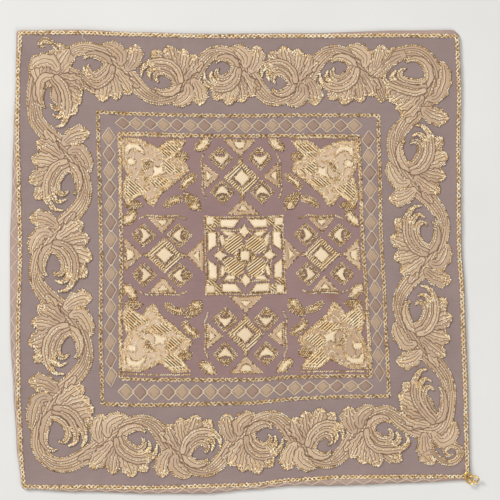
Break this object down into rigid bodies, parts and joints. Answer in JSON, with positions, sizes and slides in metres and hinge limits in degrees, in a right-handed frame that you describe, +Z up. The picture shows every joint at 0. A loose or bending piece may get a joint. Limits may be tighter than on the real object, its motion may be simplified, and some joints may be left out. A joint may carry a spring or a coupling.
{
  "type": "cushion cover",
  "caption": "Empty square brocade cushion cover lying flat, with scroll border, lozenge frame, tiled centre and a pair of wire links at one corner.",
  "frame": {"origin": "on the surface that the cover lies on, under the middle of the whole cover's box", "axes": "+Z up out of the face, +Y towards the face's top edge, +X towards its right edge, where the links are at the lower end"},
  "size_m": [0.4688, 0.4638, 0.0091],
  "materials": {
    "face_cloth": "satin brocade in mauve grey with gold and cream threads",
    "back_cloth": "matt plain weave in mauve grey",
    "wire": "polished yellow wire"
  },
  "bodies": {
    "root": {"front_panel": "face_cloth", "back_panel": "back_cloth", "corner_ring": "wire", "hook_link": "wire"}
  },
  "joints": []
}
